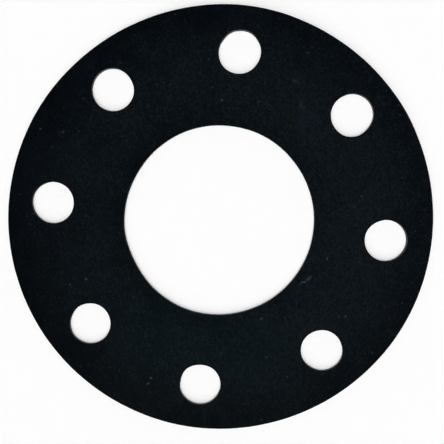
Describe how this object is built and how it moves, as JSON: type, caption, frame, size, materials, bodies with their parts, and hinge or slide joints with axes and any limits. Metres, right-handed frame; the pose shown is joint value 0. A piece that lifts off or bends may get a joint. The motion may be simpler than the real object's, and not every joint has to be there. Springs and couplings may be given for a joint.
{
  "type": "rubber flange gasket",
  "caption": "Flat full-face ring gasket of cloth-finished sheet rubber with a large bore and a circle of bolt holes, for sealing between two pipe flanges.",
  "frame": {"origin": "centre of the bore on the gasket's underside", "axes": "+Z along the bore, up through the sheet; the bolt holes straddle the X and Y axes"},
  "size_m": [0.184, 0.184, 0.0015],
  "materials": {
    "rubber": "matte blue-black sheet rubber with a faint cloth impression, cut edges"
  },
  "bodies": {
    "root": {"flange_gasket": "rubber"}
  },
  "joints": []
}
